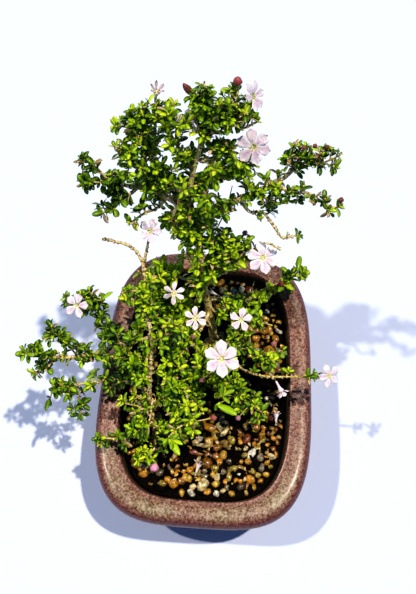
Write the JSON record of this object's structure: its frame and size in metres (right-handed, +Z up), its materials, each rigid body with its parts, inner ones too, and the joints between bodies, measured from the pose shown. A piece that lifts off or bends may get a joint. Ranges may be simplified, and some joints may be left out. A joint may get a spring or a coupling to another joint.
{
  "type": "serissa bonsai in a glazed pot",
  "caption": "Young serissa bonsai with small green leaves and white-pink star blooms, leaning back over a mottled red glazed pot with dark soil and river pebbles.",
  "frame": {"origin": "centre of the pot's flat underside", "axes": "+Z up, +Y along the pot's long side towards the end that the plant leans over"},
  "size_m": [0.1689, 0.1701, 0.1927],
  "materials": {
    "glaze": "glossy mottled dusty-red glaze with grey and beige clouds",
    "screen": "matte moulded mesh",
    "soil": "damp crumbly soil with smooth pebbles",
    "bark": "matte fissured bark",
    "leaf": "satin living leaf",
    "petal": "soft thin petal",
    "bud": "matte closed bud"
  },
  "bodies": {
    "root": {"pot": "glaze", "drain_screen_near": "screen", "drain_screen_far": "screen", "soil": "soil", "trunk": "bark", "second_stem": "bark", "spray_right_upper": "leaf", "spray_right_tip": "leaf", "spray_right_hanging": "leaf", "spray_right_rosette": "leaf", "spray_rim": "leaf", "spray_corner": "leaf", "spray_twig": "leaf", "spray_left_high": "leaf", "spray_left_middle": "leaf", "spray_left_low": "leaf", "spray_left_sprig": "leaf", "spray_crown_left": "leaf", "spray_crown_hanging": "leaf", "spray_crown_low": "leaf", "spray_crown_side": "leaf", "spray_crown_back": "leaf", "spray_crown_inner": "leaf", "spray_apex": "leaf", "spray_crown_right": "leaf", "spray_crown_front": "leaf", "spray_crown_flower": "leaf", "spray_shoulder": "leaf", "spray_neck": "leaf", "spray_low_left": "leaf", "spray_mid_left": "leaf", "spray_middle": "leaf", "spray_heart": "leaf", "spray_front": "leaf", "spray_front_right": "leaf", "spray_right_back": "leaf", "spray_right_low": "leaf", "flower_middle": "petal", "flower_crown": "petal", "flower_rim": "petal", "flower_left": "petal", "flower_top": "petal", "flower_twig": "petal", "flower_shade": "petal", "flower_narrow": "petal", "flower_stem": "petal", "flower_prong": "petal", "flower_faded": "petal", "flower_hidden": "petal", "flower_hanging": "petal", "fallen_trumpet": "petal", "fallen_small": "petal", "fallen_dried": "petal", "bud_long": "bud", "bud_round": "bud", "bud_brown": "bud", "bud_pink": "bud"}
  },
  "joints": []
}
